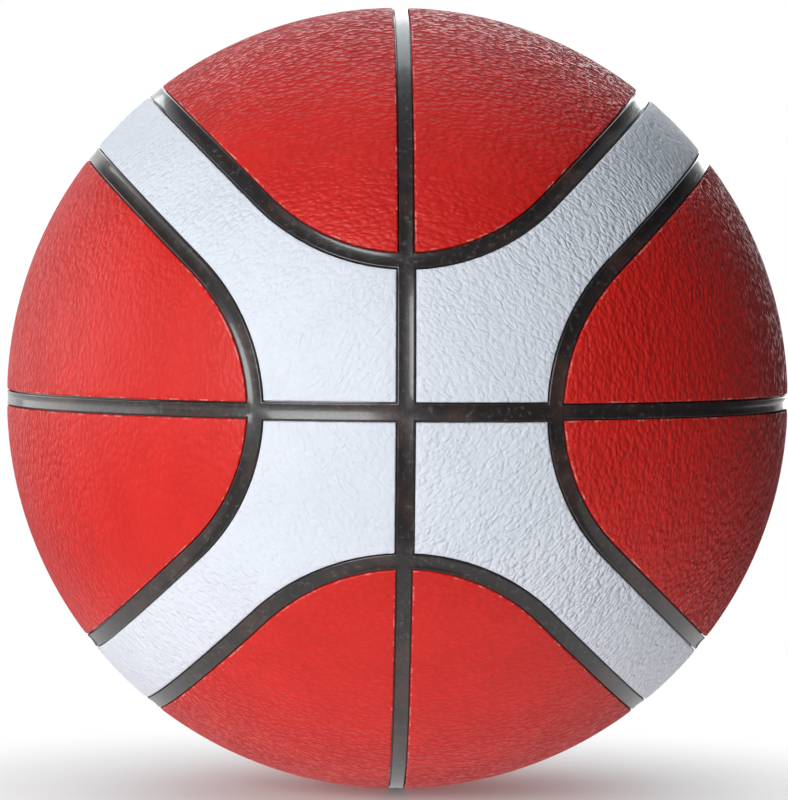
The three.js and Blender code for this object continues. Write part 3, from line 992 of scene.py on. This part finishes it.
def makeFloor():
    work = bmesh.new()
    bmesh.ops.create_circle(work, cap_ends=True, segments=studio["floorSegments"],
                            radius=studio["floorRadius"])
    mesh = bpy.data.meshes.new("studioFloor")
    work.to_mesh(mesh)
    work.free()
    floor = bpy.data.objects.new("studioFloor", mesh)
    floor.location = (0, 0, studio["floorHeight"])
    bpy.context.scene.collection.objects.link(floor)
    material = bpy.data.materials.new("paleFloor")
    material.use_nodes = True
    tree = material.node_tree
    tree.nodes.clear()
    seen = addNode(tree, "ShaderNodeLightPath").outputs
    matt = addNode(tree, "ShaderNodeBsdfDiffuse", Color=studio["floorColour"])
    white = addNode(tree, "ShaderNodeEmission", Color=(1, 1, 1, 1))
    place = addNode(tree, "ShaderNodeTexCoord").outputs["Object"]
    away = addNode(tree, "ShaderNodeVectorMath", {"operation": "LENGTH"}, Vector=place).outputs["Value"]
    clear = ramp(tree, away, 0.0, studio["shadowReach"], studio["shadowWhite"], 1.0)
    looked = maths(tree, "MULTIPLY", seen["Is Camera Ray"], clear)
    along = addNode(tree, "ShaderNodeSeparateXYZ", Vector=place).outputs
    behind = ramp(tree, along["Y"], *studio["floorBehind"])
    atLeft = ramp(tree, along["X"], *studio["floorLeft"], studio["floorLeftLevel"], 0.0)
    reflected = maths(tree, "MAXIMUM", maths(tree, "MAXIMUM", behind, atLeft), studio["floorDark"])
    glossy = maths(tree, "MULTIPLY", seen["Is Glossy Ray"], reflected)
    tree.links.new(maths(tree, "MAXIMUM", glossy, seen["Is Camera Ray"]), white.inputs["Strength"])
    factor = maths(tree, "MAXIMUM", looked, seen["Is Glossy Ray"])
    blend = addNode(tree, "ShaderNodeMixShader")
    feed(tree, blend.inputs[0], factor)
    feed(tree, blend.inputs[1], matt.outputs[0])
    feed(tree, blend.inputs[2], white.outputs[0])
    out = addNode(tree, "ShaderNodeOutputMaterial")
    tree.links.new(blend.outputs[0], out.inputs["Surface"])
    mesh.materials.append(material)


def makeWorld():
    world = bpy.data.worlds.new("studioWorld")
    world.use_nodes = True
    tree = world.node_tree
    tree.nodes.clear()
    seen = addNode(tree, "ShaderNodeLightPath").outputs
    towards = addNode(tree, "ShaderNodeTexCoord").outputs["Generated"]
    depth = addNode(tree, "ShaderNodeSeparateXYZ", Vector=towards).outputs["Y"]
    behind = ramp(tree, depth, *studio["sweepFrom"])
    shine = maths(tree, "MULTIPLY", seen["Is Glossy Ray"], behind)
    direct = maths(tree, "MAXIMUM", seen["Is Camera Ray"], seen["Is Transmission Ray"])
    white = maths(tree, "MAXIMUM", direct, shine)
    colour = mixColour(tree, white, studio["ambient"], (1, 1, 1, 1))
    background = addNode(tree, "ShaderNodeBackground", Color=colour, Strength=1.0)
    out = addNode(tree, "ShaderNodeOutputWorld")
    tree.links.new(background.outputs[0], out.inputs["Surface"])
    bpy.context.scene.world = world


def addLamp(name, spot, aim, width, height, power, tint=(1.0, 1.0, 1.0)):
    light = bpy.data.lights.new(name, "AREA")
    light.shape = "RECTANGLE"
    light.size, light.size_y = width, height
    light.energy = power
    light.color = tint
    lamp = bpy.data.objects.new(name, light)
    lamp.location = spot
    lamp.rotation_euler = (aim - spot).to_track_quat("-Z", "Y").to_euler()
    lamp.visible_camera = False
    bpy.context.scene.collection.objects.link(lamp)


def makeLamps():
    for name, azimuth, elevation, distance, width, height, level, tint in studio["lamps"]:
        a, e = math.radians(azimuth), math.radians(elevation)
        spot = Vector((math.sin(a) * math.cos(e), -math.cos(a) * math.cos(e), math.sin(e))) * distance
        addLamp(name, spot, Vector((0, 0, 0)), width, height, level * (math.pi * distance) ** 2, tint)
    x, y, width, level = studio["tableLamp"]
    spot = Vector((x, y, studio["floorHeight"] + studio["tableLampLift"]))
    addLamp("tableLamp", spot, spot + Vector((0, 0, 1)), width, width, level * math.pi * width ** 2)


# the ball's turn against the camera and the long lens, as read from the photograph
view = {
    "yaw": -1.208,
    "pitch": -1.95,
    "roll": -0.321,
    "distance": 1.573,
    "focalPixels": 5060,
    "frame": (788, 800),
    "ballCentre": (397.3, 398.2),
    "sensor": 36,            # mm
    "clipStart": 0.05,
}


def makeCamera():
    wide, high = view["frame"]
    longSide = max(wide, high)
    roll = Matrix.Rotation(math.radians(view["roll"]), 3, "Y")
    pitch = Matrix.Rotation(math.radians(view["pitch"]), 3, "X")
    yaw = Matrix.Rotation(math.radians(view["yaw"]), 3, "Z")
    turn = roll @ pitch @ yaw
    right, away, up = turn.col[0].copy(), turn.col[1].copy(), turn.col[2].copy()
    lens = bpy.data.cameras.new("photoCamera")
    lens.sensor_width = view["sensor"]
    lens.lens = view["focalPixels"] * view["sensor"] / longSide
    lens.shift_x = (wide / 2 - view["ballCentre"][0]) / longSide
    lens.shift_y = (view["ballCentre"][1] - high / 2) / longSide
    lens.clip_start = view["clipStart"]
    camera = bpy.data.objects.new("photoCamera", lens)
    aimed = Matrix((right, up, -away)).transposed().to_4x4()
    camera.matrix_world = Matrix.Translation(-away * view["distance"]) @ aimed
    bpy.context.scene.collection.objects.link(camera)
    bpy.context.scene.camera = camera


makeFloor()
makeWorld()
makeLamps()
makeCamera()
bpy.context.scene.view_settings.view_transform = "Standard"
print("studio: floor, lamps and camera set")
